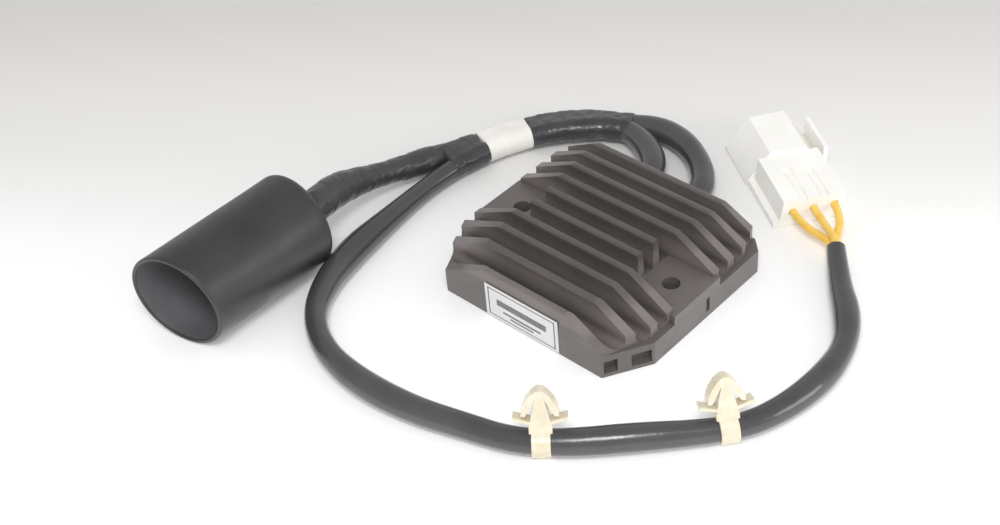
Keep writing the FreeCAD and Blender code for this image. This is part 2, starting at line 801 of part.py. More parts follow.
def build_stator_connector():
    body = new_body("stator_connector")
    body.Placement = Placement(Vector(*CONNECTOR_FOOT), Rotation(UP, CONNECTOR_TURN))

    tail = new_sketch(body, "tail", "YZ_Plane")
    half = "tail_width / 2"
    waist = "tail_width / 2 - tail_rail"
    top = "tail_top_width / 2"
    add_polygon(tail, [("-(%s)" % half, "0"), (half, "0"), (half, "tail_rail"),
                       (waist, "tail_rail"), (top, "tail_height"), ("-(%s)" % top, "tail_height"),
                       ("-(%s)" % waist, "tail_rail"), ("-(%s)" % half, "tail_rail")])
    pad(body, tail, "tail_length")

    grooves = new_sketch(body, "grooves", "YZ_Plane")
    for i in (-1, 1):
        add_circle(grooves, "%d * barrel_pitch / 2" % i, "tail_height", "tail_groove")
    cut(body, grooves, "2 * tail_groove_length")

    hood = new_sketch(body, "hood", "YZ_Plane", "tail_length")
    half = "hood_width / 2"
    top = "hood_top_width / 2"
    add_polygon(hood, [("-(%s)" % half, "0"), (half, "0"), (half, "hood_foot"),
                       (top, "hood_height"), ("-(%s)" % top, "hood_height"),
                       ("-(%s)" % half, "hood_foot")])
    pad(body, hood, "hood_length")

    mouth = new_sketch(body, "mouth", "YZ_Plane", "tail_length + hood_length")
    floor_half = "(hood_width / 2 - hood_wall * 1.25)"
    roof_half = "(hood_top_width / 2 - hood_wall / 2)"
    add_polygon(mouth, [
        ("-%s" % floor_half, "hood_wall"), (floor_half, "hood_wall"),
        (roof_half, "hood_height - hood_wall"), ("-%s" % roof_half, "hood_height - hood_wall")])
    cut(body, mouth, "2 * hood_depth")

    latch = new_sketch(body, "latch", "YZ_Plane", "latch_start")
    add_rectangle(latch, "-latch_place - latch_thickness / 2", "-latch_place + latch_thickness / 2",
                  "hood_foot / 2", "hood_height")
    pad(body, latch, "latch_length")

    sockets = new_sketch(body, "sockets", "YZ_Plane")
    for i in (-1, 0, 1):
        add_circle(sockets, "%d * barrel_pitch" % i, "barrel_lift", "wire_radius + wire_play")
    cut(body, sockets, "2 * wire_depth")
    return body


def in_connector(x, y, z):
    """A point of the connector's own frame, in the frame of the whole part."""
    turned = Rotation(UP, CONNECTOR_TURN).multVec(Vector(x, y, z))
    return tuple(turned + Vector(*CONNECTOR_FOOT))


def build_connector_insides():
    """Three flat blades that stand on the floor of the hood."""
    turn = Rotation(UP, CONNECTOR_TURN)
    deep = number("tail_length + hood_length - hood_depth")
    for i in (-1, 0, 1):
        blade = doc.addObject("Part::Box", "stator_terminal_%d" % (i + 2))
        bind(blade, "Length", "stator_blade_length")
        bind(blade, "Width", "stator_blade_width")
        bind(blade, "Height", "blade_thickness")
        corner = in_connector(deep, number("%d * barrel_pitch - stator_blade_width / 2" % i),
                              number("stator_blade_lift - blade_thickness / 2"))
        blade.Placement = Placement(Vector(*corner), turn)
        sub_part(blade, "stator_terminal_%d" % (i + 2))


WIRE_LEAVE = 5.5
WIRE_SPREAD = 2.3


def build_stator_wires():
    """Three insulated wires from the sleeve's end into the connector's barrels."""
    end = Vector(*STATOR_ROUTE[-1])
    along = end - Vector(*STATOR_ROUTE[-2])
    along.normalize()
    side = along.cross(UP)
    side.normalize()
    rise = side.cross(along)
    pitch = number("barrel_pitch")
    lift = number("barrel_lift")
    depth = number("wire_depth")
    radius = number("wire_radius")
    for i in (-1, 0, 1):
        offset = side * (-i * WIRE_SPREAD * 0.87) + rise * (WIRE_SPREAD if i == 0 else -WIRE_SPREAD / 2)
        start = end + offset * 0.75
        route = [tuple(start), tuple(start + along * WIRE_LEAVE),
                 in_connector(-7.5, i * pitch, lift), in_connector(depth - 0.2, i * pitch, lift)]
        cord_part("stator_wire_%d" % (i + 2), round_tube(route, radius))


# Harness clips on the stator lead

def build_clip(label, route_index):
    """A push-in clip: strap round the sleeve, buckle, two wings and a spade-shaped head."""
    first = Vector(*STATOR_ROUTE[route_index])
    second = Vector(*STATOR_ROUTE[route_index + 1])
    middle = (first + second) * 0.5
    along = second - first
    along.normalize()
    body = new_body(label)
    turn = Rotation(along, UP.cross(along), UP, "XZY")
    lean = Rotation(Vector(1, 0, 0), -number("clip_lean"))
    body.Placement = Placement(middle, turn.multiply(lean))

    strap = new_sketch(body, "strap", "YZ_Plane")
    add_circle(strap, "0", "0", "sleeve_radius + strap_play + strap_thickness")
    pad(body, strap, "strap_width", symmetric=True)

    head = new_sketch(body, "head", "XZ_Plane")
    rise = "(clip_top - barb_foot)"
    side = [
        ("buckle_width / 2", "sleeve_radius"), ("buckle_width / 2", "buckle_top"),
        ("stem_root", "wing_lift - wing_thickness"),
        ("wing_reach", "wing_lift - wing_thickness + wing_rise"),
        ("wing_reach", "wing_lift + wing_rise"), ("stem_root", "wing_lift"),
        ("slot_place", "slot_top"), ("barb_reach - barb_thickness", "barb_foot"),
        ("barb_reach", "barb_foot"), ("barb_reach * 0.94", "barb_foot + %s * 0.26" % rise),
        ("barb_reach * 0.74", "barb_foot + %s * 0.56" % rise),
        ("barb_reach * 0.46", "barb_foot + %s * 0.82" % rise),
        ("barb_reach * 0.18", "barb_foot + %s * 0.97" % rise),
    ]
    other_side = [("-(%s)" % x, z) for x, z in reversed(side)]
    add_polygon(head, side + [("0", "clip_top")] + other_side)
    pad(body, head, "clip_thickness", symmetric=True)

    hollow = new_sketch(body, "hollow", "YZ_Plane")
    add_circle(hollow, "0", "0", "sleeve_radius + strap_play")
    cut(body, hollow, "strap_width * 2")
    return body


# Leads, tapes and all the rest

SECTION_STEP = 0.45


def oblong_wrap(label, first, last, tubes):
    """Tape round both sleeves, from one place along the output route to another.

    The places count the route's points. Each section is a rounded oblong round both sleeves.
    """
    radius = number("sleeve_radius + tape_thickness")
    output_path = cord_path(OUTPUT_ROUTE)
    stator_path = cord_path(STATOR_ROUTE)

    def nearest(path, point):
        return path.distToShape(Part.Vertex(*point))[1][0][0]

    def output_point(place):
        low = int(place)
        return nearest(output_path, between(OUTPUT_ROUTE[low], OUTPUT_ROUTE[low + 1], place - low))

    sections = []
    count = max(2, int(round((last - first) / SECTION_STEP)))
    for i in range(count + 1):
        place = first + (last - first) * i / count
        along = output_point(place + 0.1) - output_point(place - 0.1)
        along.normalize()
        a = output_point(place)
        across = nearest(stator_path, a) - a
        across = across - along * across.dot(along)
        b = a + across
        across.normalize()
        over = across.cross(along)
        sections.append(Part.Wire([
            Part.LineSegment(a + over * radius, b + over * radius).toShape(),
            Part.Arc(b + over * radius, b + across * radius, b - over * radius).toShape(),
            Part.LineSegment(b - over * radius, a - over * radius).toShape(),
            Part.Arc(a - over * radius, a - across * radius, a + over * radius).toShape(),
        ]))
    wrap = Part.makeLoft(sections, True, True)
    for tube in tubes:
        wrap = wrap.cut(tube)
    cord_part(label, wrap)


def build_leads():
    radius = number("sleeve_radius")
    output = round_tube(OUTPUT_ROUTE, radius, "output sleeve", flush=True)
    stator = round_tube(STATOR_ROUTE, radius, "stator sleeve", flush=True)
    cord_part("output_sleeve", output)
    cord_part("stator_sleeve", stator)
    oblong_wrap("binding_tape", 5.6, 8.68, [output, stator])
    oblong_wrap("marker_tape", 8.71, 9.94, [output, stator])
    oblong_wrap("joint_tape", 9.97, 10.9, [output, stator])

    branch = [between(OUTPUT_ROUTE[11], OUTPUT_ROUTE[12], 0.2)] + OUTPUT_ROUTE[12:16]
    branch.append(between(OUTPUT_ROUTE[15], OUTPUT_ROUTE[16], 0.45))
    wrap = round_tube(branch, radius + number("tape_thickness"))
    cord_part("branch_tape", wrap.cut(output))


def check_and_write():
    doc.recompute()
    for item in doc.Objects:
        for word in ("Invalid", "Error"):
            if word in item.State:
                raise RuntimeError("%s is %s" % (item.Name, item.State))
    for item in SUB_PARTS:
        if item.Shape.isNull() or not item.Shape.isValid():
            raise RuntimeError("%s has no valid shape" % item.Label)
    os.makedirs("parts", exist_ok=True)
    for item in SUB_PARTS:
        item.Shape.exportStep("parts/%s.step" % item.Label)
    print("%d sub-parts written" % len(SUB_PARTS))


build_housing()
build_electronics()
build_label()
build_grommet("output_grommet", "output_exit")
build_grommet("stator_grommet", "stator_exit")
build_boot()
build_output_connector()
build_stator_connector()
build_connector_insides()
build_stator_wires()
build_clip("harness_clip_1", 19)
build_clip("harness_clip_2", 22)
build_leads()
check_and_write()
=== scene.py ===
"""Looks of the voltage regulator rectifier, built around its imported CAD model."""

import math

import bmesh
import bpy
from mathutils import Matrix, Vector, noise


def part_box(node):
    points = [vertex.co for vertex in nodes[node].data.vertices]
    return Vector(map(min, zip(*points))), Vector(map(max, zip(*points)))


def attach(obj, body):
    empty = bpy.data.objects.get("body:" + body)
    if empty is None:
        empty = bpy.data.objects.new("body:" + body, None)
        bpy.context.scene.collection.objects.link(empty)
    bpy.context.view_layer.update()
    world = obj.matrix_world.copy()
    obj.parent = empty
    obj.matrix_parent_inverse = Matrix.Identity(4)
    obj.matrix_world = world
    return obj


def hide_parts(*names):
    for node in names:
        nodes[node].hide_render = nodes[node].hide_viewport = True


MM = 0.001
UP = Vector((0, 0, 1))

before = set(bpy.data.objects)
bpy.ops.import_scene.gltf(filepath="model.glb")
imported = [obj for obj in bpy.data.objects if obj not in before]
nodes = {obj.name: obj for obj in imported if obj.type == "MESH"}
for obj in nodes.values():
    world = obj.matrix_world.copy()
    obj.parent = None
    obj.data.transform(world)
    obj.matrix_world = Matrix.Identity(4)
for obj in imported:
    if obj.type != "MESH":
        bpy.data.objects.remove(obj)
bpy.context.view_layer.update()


# Node helpers; the owner is a material or the world

def add_node(owner, kind, **inputs):
    node = owner.node_tree.nodes.new(kind)
    for key, value in inputs.items():
        node.inputs[key.replace("_", " ")].default_value = value
    return node


def link(owner, source, output, target, socket):
    owner.node_tree.links.new(source.outputs[output], target.inputs[socket])


def add_ramp(owner, stops):
    """A colour ramp from pairs of position and colour."""
    ramp = add_node(owner, "ShaderNodeValToRGB")
    elements = ramp.color_ramp.elements
    for index, (position, color) in enumerate(stops):
        stop = elements[index] if index < 2 else elements.new(position)
        stop.position = position
        stop.color = (*color, 1)
    return ramp


# Materials

GRAIN_STRENGTH = 0.35
GRAIN_DISTANCE = 0.0001
MOTTLE_FROM, MOTTLE_TO = 0.35, 0.65
SHEEN_FROM, SHEEN_TO = 0.3, 0.7


def shader_of(material):
    return material.node_tree.nodes["Principled BSDF"]


def node_material(name, color, roughness=0.5, metallic=0.0, specular=0.5):
    material = bpy.data.materials.new(name)
    material.use_nodes = True
    inputs = shader_of(material).inputs
    inputs["Base Color"].default_value = (*color, 1)
    inputs["Roughness"].default_value = roughness
    inputs["Metallic"].default_value = metallic
    inputs["Specular IOR Level"].default_value = specular
    return material


def add_cloud(material, scale, detail, distortion=0.0):
    """Noise in the object's own coordinates."""
    place = add_node(material, "ShaderNodeTexCoord")
    cloud = add_node(material, "ShaderNodeTexNoise", Scale=scale, Detail=detail, Distortion=distortion)
    link(material, place, "Object", cloud, "Vector")
    return cloud


def add_mottle(material, first, second, scale):
    """Two close colours mixed by broad noise."""
    cloud = add_cloud(material, scale, detail=3.0)
    ramp = add_ramp(material, [(MOTTLE_FROM, first), (MOTTLE_TO, second)])
    link(material, cloud, "Fac", ramp, "Fac")
    link(material, ramp, "Color", shader_of(material), "Base Color")


def add_layers(material, coarse, fine, distance, strength):
    """A bump of broad dents with fine grain on top."""
    broad = add_cloud(material, coarse, detail=2.0, distortion=0.6)
    grain = add_cloud(material, fine, detail=4.0)
    lower = add_node(material, "ShaderNodeBump", Strength=strength, Distance=distance)
    upper = add_node(material, "ShaderNodeBump", Strength=GRAIN_STRENGTH, Distance=GRAIN_DISTANCE)
    link(material, broad, "Fac", lower, "Height")
    link(material, grain, "Fac", upper, "Height")
    link(material, lower, "Normal", upper, "Normal")
    link(material, upper, "Normal", shader_of(material), "Normal")


def add_sheen_change(material, low, high, scale):
    """Roughness that changes from place to place."""
    cloud = add_cloud(material, scale, detail=3.0)
    spread = add_node(material, "ShaderNodeMapRange", From_Min=SHEEN_FROM, From_Max=SHEEN_TO,
                      To_Min=low, To_Max=high)
    link(material, cloud, "Fac", spread, "Value")
    link(material, spread, "Result", shader_of(material), "Roughness")


def add_painted_height_shade(material, shades, low, high):
    """Painted light and shade: the colour multiplied by a grey that changes between two heights, given in
    millimetres.
    """
    shader = shader_of(material)
    former = shader.inputs["Base Color"].links[0].from_node
    place = add_node(material, "ShaderNodeTexCoord")
    split = add_node(material, "ShaderNodeSeparateXYZ")
    spread = add_node(material, "ShaderNodeMapRange", From_Min=low * MM, From_Max=high * MM)
    ramp = add_ramp(material, [(position, (shade, shade, shade)) for position, shade in shades])
    mix = add_node(material, "ShaderNodeVectorMath")
    mix.operation = "MULTIPLY"
    link(material, place, "Object", split, "Vector")
    link(material, split, "Z", spread, "Value")
    link(material, spread, "Result", ramp, "Fac")
    link(material, former, "Color", mix, 0)
    link(material, ramp, "Color", mix, 1)
    link(material, mix, "Vector", shader, "Base Color")


def let_light_in(material, weight, radius):
    inputs = shader_of(material).inputs
    inputs["Subsurface Weight"].default_value = weight
    inputs["Subsurface Radius"].default_value = radius


# Painted light and shade: greys at shares of the height, from the base plate to near the fins' crests, lighter
# on the shaded fin walls than on the crests
CASTING_PAINTED_SHADES = [(0.0, 0.53), (0.22, 0.54), (0.30, 0.64), (0.42, 0.60),
                  (0.56, 0.86), (0.74, 0.82), (0.90, 0.50), (1.0, 0.41)]

casting = node_material("casting", (0.105, 0.092, 0.088), specular=0.45)
add_layers(casting, coarse=260, fine=1500, distance=0.0002, strength=0.2)
add_mottle(casting, (0.205, 0.180, 0.174), (0.235, 0.206, 0.199), scale=70)
# Painted light and shade on the casting: fin walls lightened and crests darkened by height
add_painted_height_shade(casting, CASTING_PAINTED_SHADES, low=6, high=24)
add_sheen_change(casting, low=0.30, high=0.44, scale=120)

sleeve_skin = node_material("sleeve_skin", (0.060, 0.059, 0.062), specular=0.6)
add_layers(sleeve_skin, coarse=60, fine=700, distance=0.0016, strength=0.22)
add_mottle(sleeve_skin, (0.052, 0.051, 0.054), (0.070, 0.068, 0.072), scale=40)
add_sheen_change(sleeve_skin, low=0.17, high=0.25, scale=90)

tape_black = node_material("tape_black", (0.038, 0.037, 0.040))
add_layers(tape_black, coarse=110, fine=900, distance=0.0010, strength=0.22)
add_mottle(tape_black, (0.038, 0.037, 0.040), (0.052, 0.051, 0.054), scale=60)
add_sheen_change(tape_black, low=0.26, high=0.40, scale=120)

tape_white = node_material("tape_white", (0.88, 0.86, 0.81), roughness=0.45)
add_layers(tape_white, coarse=130, fine=900, distance=0.0008, strength=0.3)
add_mottle(tape_white, (0.82, 0.80, 0.76), (0.89, 0.87, 0.82), scale=90)

boot_skin = node_material("boot_skin", (0.025, 0.025, 0.027))
add_layers(boot_skin, coarse=45, fine=600, distance=0.0012, strength=0.16)
add_mottle(boot_skin, (0.026, 0.026, 0.028), (0.034, 0.034, 0.037), scale=45)
add_sheen_change(boot_skin, low=0.38, high=0.50, scale=70)

# Painted light: the boot's inside gets a far lighter grey than its rubber outside, to lift the shade inside the
# cup
boot_inside_painted_light = node_material("boot_inside_painted_light", (0.115, 0.115, 0.122), roughness=0.6)
add_layers(boot_inside_painted_light, coarse=60, fine=700, distance=0.0008, strength=0.2)
add_mottle(boot_inside_painted_light, (0.100, 0.100, 0.107), (0.130, 0.130, 0.137), scale=60)

dark_plastic = node_material("dark_plastic", (0.03, 0.03, 0.03), roughness=0.4)
add_layers(dark_plastic, coarse=200, fine=1500, distance=0.0003, strength=0.2)

grommet_skin = node_material("grommet_skin", (0.035, 0.035, 0.038), roughness=0.35)
add_layers(grommet_skin, coarse=200, fine=900, distance=0.0005, strength=0.3)

paper = node_material("paper", (0.80, 0.79, 0.79), roughness=0.32)
add_layers(paper, coarse=300, fine=2500, distance=0.0002, strength=0.15)

print_grey = node_material("print_grey", (0.16, 0.16, 0.17), roughness=0.45)
add_mottle(print_grey, (0.13, 0.13, 0.14), (0.19, 0.19, 0.20), scale=900)

resin = node_material("resin", (0.03, 0.03, 0.03), roughness=0.25)
add_layers(resin, coarse=90, fine=700, distance=0.0006, strength=0.3)

brass = node_material("brass", (0.70, 0.62, 0.45), roughness=0.3, metallic=1.0)
add_mottle(brass, (0.64, 0.56, 0.40), (0.74, 0.66, 0.48), scale=300)

ivory = node_material("ivory", (0.93, 0.92, 0.88), roughness=0.35)
add_layers(ivory, coarse=90, fine=1800, distance=0.0003, strength=0.2)
add_mottle(ivory, (0.915, 0.90, 0.855), (0.95, 0.94, 0.90), scale=70)
let_light_in(ivory, 0.1, (0.004, 0.003, 0.002))

yellow = node_material("yellow", (0.90, 0.56, 0.09), roughness=0.35)
add_layers(yellow, coarse=200, fine=1500, distance=0.0003, strength=0.2)
add_mottle(yellow, (0.86, 0.50, 0.07), (0.93, 0.62, 0.13), scale=150)

clear_nylon = node_material("clear_nylon", (0.76, 0.69, 0.54), roughness=0.34)
add_layers(clear_nylon, coarse=160, fine=1500, distance=0.0004, strength=0.25)
add_mottle(clear_nylon, (0.72, 0.65, 0.48), (0.80, 0.74, 0.61), scale=220)
let_light_in(clear_nylon, 0.35, (0.003, 0.0025, 0.0016))


# Shape helpers; lengths are in millimetres

SMOOTH_ANGLE = 32
BEVEL_ANGLE = 35


def in_scene(name, data):
    obj = bpy.data.objects.new(name, data)
    bpy.context.scene.collection.objects.link(obj)
    return obj


def paint(obj, material):
    obj.data.materials.clear()
    obj.data.materials.append(material)


def smooth_by_angle(obj, degrees=SMOOTH_ANGLE):
    """Smooth faces with sharp edges kept where the surface turns by more than the angle."""
    mesh = obj.data
    work = bmesh.new()
    work.from_mesh(mesh)
    limit = math.radians(degrees)
    sharp = [edge.index for edge in work.edges
             if len(edge.link_faces) != 2 or edge.calc_face_angle(0) > limit]
    work.free()
    for polygon in mesh.polygons:
        polygon.use_smooth = True
    for index in sharp:
        mesh.edges[index].use_edge_sharp = True


def bevel(obj, width, segments=3):
    modifier = obj.modifiers.new("edges", "BEVEL")
    modifier.width = width * MM
    modifier.segments = segments
    modifier.limit_method = "ANGLE"
    modifier.angle_limit = math.radians(BEVEL_ANGLE)
    modifier.miter_outer = "MITER_ARC"


def cord_curve(name, points, sizes, radius, material=None):
    """A smooth tube on the route's points, with its own size at each point."""
    curve = bpy.data.curves.new(name, "CURVE")
    curve.dimensions = "3D"
    curve.resolution_u = 24
    curve.bevel_depth = radius * MM
    curve.bevel_resolution = 12
    curve.use_fill_caps = True
    spline = curve.splines.new("NURBS")
    spline.points.add(len(points) - 1)
    for point, place, size in zip(spline.points, points, sizes):
        point.co = (*[value * MM for value in place], 1)
        point.radius = size / SLEEVE_RADIUS
    spline.order_u = 3
    spline.use_endpoint_u = True
    if material:
        curve.materials.append(material)
    return in_scene(name, curve)


def centre_line(points):
    """Points along a route's smooth curve, read from that curve with no bevel."""
    bare = cord_curve("bare", points, [SLEEVE_RADIUS] * len(points), 0.0)
    mesh = bpy.data.meshes.new_from_object(bare)
    line = [vertex.co / MM for vertex in mesh.vertices]
    curve = bare.data
    bpy.data.meshes.remove(mesh)
    bpy.data.objects.remove(bare)
    bpy.data.curves.remove(curve)
    return line


def mesh_object(name, vertices, faces, material, smooth=True):
    mesh = bpy.data.meshes.new(name)
    mesh.from_pydata(vertices, [], faces)
    mesh.validate()
    mesh.materials.append(material)
    for polygon in mesh.polygons:
        polygon.use_smooth = smooth
    return in_scene(name, mesh)


def flat_box(name, low, high, material):
    """An axis-aligned box between two corners."""
    xs, ys, zs = zip(low, high)
    corners = [(x * MM, y * MM, z * MM) for x in xs for y in ys for z in zs]
    faces = [(0, 1, 3, 2), (4, 6, 7, 5), (0, 4, 5, 1), (2, 3, 7, 6), (0, 2, 6, 4), (1, 5, 7, 3)]
    return mesh_object(name, corners, faces, material, smooth=False)


# Free leads: the CAD source's routes, with points moved by a few millimetres to follow the photograph.
# The sizes are the sleeve's radius at each point.

SLEEVE_RADIUS = 4.2

OUTPUT_ROUTE = [
    (8.0, 44.8, 5.6), (7.0, 53.6, 5.3), (2.3, 62.9, 5.0), (-6.5, 71.2, 5.2),
    (-18.3, 77.1, 5.4), (-31.1, 77.9, 5.4), (-43.2, 71.6, 5.2), (-57.5, 66.0, 5.0),
    (-68.9, 55.0, 4.9), (-77.8, 41.3, 4.9), (-84.3, 25.3, 5.0), (-90.0, 8.5, 5.9),
    (-94.2, -8.7, 8.8), (-96.0, -24.5, 13.1), (-96.2, -38.5, 17.0), (-92.7, -52.0, 19.1),
    (-92.7, -65.6, 19.1),
]
OUTPUT_SIZES = [4.3, 4.8, 4.9, 4.6, 5.0, 5.2, 4.8, 4.4, 4.4, 4.3, 4.2, 4.2, 4.2, 4.2, 4.2, 4.2, 4.2]

STATOR_ROUTE = [
    (-13.0, 44.8, 5.6), (-15.4, 53.5, 5.5), (-21.0, 60.8, 5.6), (-29.4, 66.0, 6.2),
    (-40.7, 69.0, 6.4), (-51.8, 61.2, 6.5), (-62.6, 50.6, 6.5), (-70.8, 38.2, 6.5),
    (-76.8, 23.0, 6.2), (-80.3, 6.4, 5.2), (-80.6, -11.6, 4.6), (-78.3, -31.3, 5.0),
    (-75.4, -50.6, 5.9), (-70.8, -68.7, 5.4), (-61.9, -84.0, 4.6), (-44.5, -94.2, 4.7),
    (-22.3, -97.4, 5.3), (-0.2, -94.8, 5.0), (18.2, -89.2, 4.8), (35.6, -84.0, 4.8),
    (50.8, -74.0, 5.6), (66.0, -59.0, 5.8), (81.4, -43.2, 5.1), (91.4, -30.8, 5.3),
    (96.0, -14.8, 4.8), (97.7, 1.7, 5.0), (94.9, 18.8, 4.6), (87.3, 31.6, 5.2),
    (75.8, 44.0, 4.7), (65.2, 58.0, 5.9),
]
STATOR_SIZES = [4.3, 5.2, 5.4, 5.1, 4.4, 4.4, 4.3, 4.0, 4.0, 4.0, 3.9, 4.8, 5.8, 5.2, 4.2,
                4.4, 5.2, 4.9, 4.6, 4.45, 4.8, 5.0, 4.3, 4.2, 4.6, 4.9, 4.1, 5.1, 4.1, 3.5]

output_sleeve = cord_curve("output_sleeve_skin", OUTPUT_ROUTE, OUTPUT_SIZES, SLEEVE_RADIUS, sleeve_skin)
stator_sleeve = cord_curve("stator_sleeve_skin", STATOR_ROUTE, STATOR_SIZES, SLEEVE_RADIUS, sleeve_skin)
output_line = centre_line(OUTPUT_ROUTE)
stator_line = centre_line(STATOR_ROUTE)


# Tape round the leads, in rings that follow the centre lines.
# A place counts the points of the output route, with fractions between them.

RING_SAMPLES = 72
RING_SPACING = 0.4
LENGTH_STEPS = 40
DIRECTION_STEP = 0.06
STATOR_LAG = 1.2
PAIR_MARGIN, MARKER_MARGIN = 0.35, 0.55
TUCK_LENGTH, TUCK_DEPTH = 0.5, 0.8
FOLD_ALONG, FOLD_DRIFT, FOLD_AROUND, FOLD_WIDTH = 0.22, 0.1, 1.6, 2.4
TAPE_FLOOR = 0.05

# Places with the branch tape's radius there
BRANCH_SIZES = [(10.55, 4.3), (10.9, 4.75), (11.2, 5.4), (11.7, 5.0), (12.2, 4.6), (12.7, 4.75),
                (13.2, 5.4), (13.7, 6.1), (14.2, 6.4), (14.8, 6.4), (15.45, 6.2)]


def output_at(place):
    """The point of the output lead's centre line at a place."""
    share = (place - 0.5) / (len(OUTPUT_ROUTE) - 2) * (len(output_line) - 1)
    low = min(max(int(share), 0), len(output_line) - 2)
    return output_line[low].lerp(output_line[low + 1], share - low)


def output_frame(place):
    """Centre and direction of the output lead at a place."""
    along = output_at(place + DIRECTION_STEP) - output_at(place - DIRECTION_STEP)
    return output_at(place), along.normalized()


def size_at(sizes, place):
    low = min(int(place), len(sizes) - 2)
    return sizes[low] + (sizes[low + 1] - sizes[low]) * (place - low)


def round_ring(place, radius):
    """Points and outward directions of a round section of the output lead."""
    centre, along = output_frame(place)
    over = (UP - along * UP.dot(along)).normalized()
    side = over.cross(along)
    ring = []
    for k in range(RING_SAMPLES):
        angle = 2 * math.pi * k / RING_SAMPLES
        out = over * math.cos(angle) + side * math.sin(angle)
        ring.append((centre + out * radius, out))
    return ring


def oblong_ring(place, margin):
    """Points and outward directions of a section round both leads."""
    a, along = output_frame(place)
    b = min(stator_line, key=lambda point: (point - a).length)
    across = b - a
    across = across - along * across.dot(along)
    b = a + across
    gap = across.length
    across.normalize()
    over = across.cross(along)
    size_a = size_at(OUTPUT_SIZES, place) + margin
    size_b = size_at(STATOR_SIZES, place - STATOR_LAG) + margin
    ring = []
    for k in range(RING_SAMPLES):
        left = k / RING_SAMPLES * (2 * gap + math.pi * (size_a + size_b))
        if left < gap:
            out, centre, size = over, a.lerp(b, left / gap), size_a + (size_b - size_a) * left / gap
        elif left < gap + math.pi * size_b:
            angle = (left - gap) / size_b
            out, centre, size = over * math.cos(angle) + across * math.sin(angle), b, size_b
        elif left < 2 * gap + math.pi * size_b:
            share = (left - gap - math.pi * size_b) / gap
            out, centre, size = -over, b.lerp(a, share), size_b + (size_a - size_b) * share
        else:
            angle = (left - 2 * gap - math.pi * size_b) / size_a
            out, centre, size = -over * math.cos(angle) - across * math.sin(angle), a, size_a
        ring.append((centre + out * size, out))
    return ring


def pair_ring(place):
    return oblong_ring(place, PAIR_MARGIN)


def marker_ring(place):
    return oblong_ring(place, MARKER_MARGIN)


def branch_ring(place):
    for (low, size), (high, following) in zip(BRANCH_SIZES, BRANCH_SIZES[1:]):
        if place <= high:
            break
    share = (place - low) / (high - low)
    smooth = share * share * (3 - 2 * share)
    return round_ring(place, size + (following - size) * smooth)


def wound_tape(name, node, first, last, section, material, pitch=8.5, step=0.18, wrinkle=0.16, seed=0.0):
    """A closed skin of rings, with the wound tape's overlapping edge and its wrinkles."""
    stations = [output_at(first + (last - first) * i / LENGTH_STEPS) for i in range(LENGTH_STEPS + 1)]
    length = sum((ahead - here).length for here, ahead in zip(stations, stations[1:]))
    count = max(6, int(length / RING_SPACING))
    vertices, faces = [], []
    for i in range(count + 1):
        share = i / count
        travelled = share * length
        end = min(1.0, min(share, 1 - share) * length / TUCK_LENGTH)
        for k, (point, out) in enumerate(section(first + (last - first) * share)):
            around = k / RING_SAMPLES
            turn = (travelled / pitch - around) % 1.0
            spot = Vector((travelled * FOLD_ALONG + seed,
                           math.cos(around * 2 * math.pi) * FOLD_AROUND + travelled * FOLD_DRIFT,
                           math.sin(around * 2 * math.pi) * FOLD_AROUND))
            fold = 1 - abs(noise.noise(spot)) * FOLD_WIDTH
            lift = step * turn + wrinkle * (fold - 0.5) - TUCK_DEPTH * (1 - end)
            place = point + out * lift
            place.z = max(place.z, TAPE_FLOOR)
            vertices.append(place * MM)
    for i in range(count):
        for k in range(RING_SAMPLES):
            following = (k + 1) % RING_SAMPLES
            faces.append((i * RING_SAMPLES + k, i * RING_SAMPLES + following,
                          (i + 1) * RING_SAMPLES + following, (i + 1) * RING_SAMPLES + k))
    faces.append(tuple(reversed(range(RING_SAMPLES))))
    faces.append(tuple(range(count * RING_SAMPLES, (count + 1) * RING_SAMPLES)))
    tape = mesh_object(name, vertices, faces, material)
    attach(tape, "root")
    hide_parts(node)
    return tape


binding = wound_tape("binding_wrap", "binding_tape", 5.75, 8.66, pair_ring, tape_black, seed=3.0)
marker = wound_tape("marker_wrap", "marker_tape", 8.66, 9.9, marker_ring, tape_white, pitch=40, step=0.1,
                    wrinkle=0.12, seed=9.0)
joint = wound_tape("joint_wrap", "joint_tape", 9.93, 10.88, pair_ring, tape_black, seed=5.0)
branch = wound_tape("branch_wrap", "branch_tape", 10.55, 15.45, branch_ring, tape_black, pitch=9.5, seed=7.0)


# Boot: a moulded rubber cup, open and slanted at its mouth, with the lead through its back

BOOT_AXIS = (-92.7, 19.1)
BOOT_BACK = -58.6
BOOT_RADIUS = 19.1
BOOT_WALL = 1.6
BOOT_LENGTH = 60.0
BOOT_CORNER = 4.0
BOOT_END = 3.0
BOOT_SLANT = math.tan(math.radians(13))
BOOT_BORE = 4.4
BOOT_BACK_RING = 9.0
BOOT_DENT = 0.55
BOOT_DENT_START = 12
BOOT_FLOOR = 0.02
BOOT_SAMPLES = 96
BOOT_STEPS = 40
BOOT_CURVE_STEPS = 8
BOOT_SMOOTH_ANGLE = 40


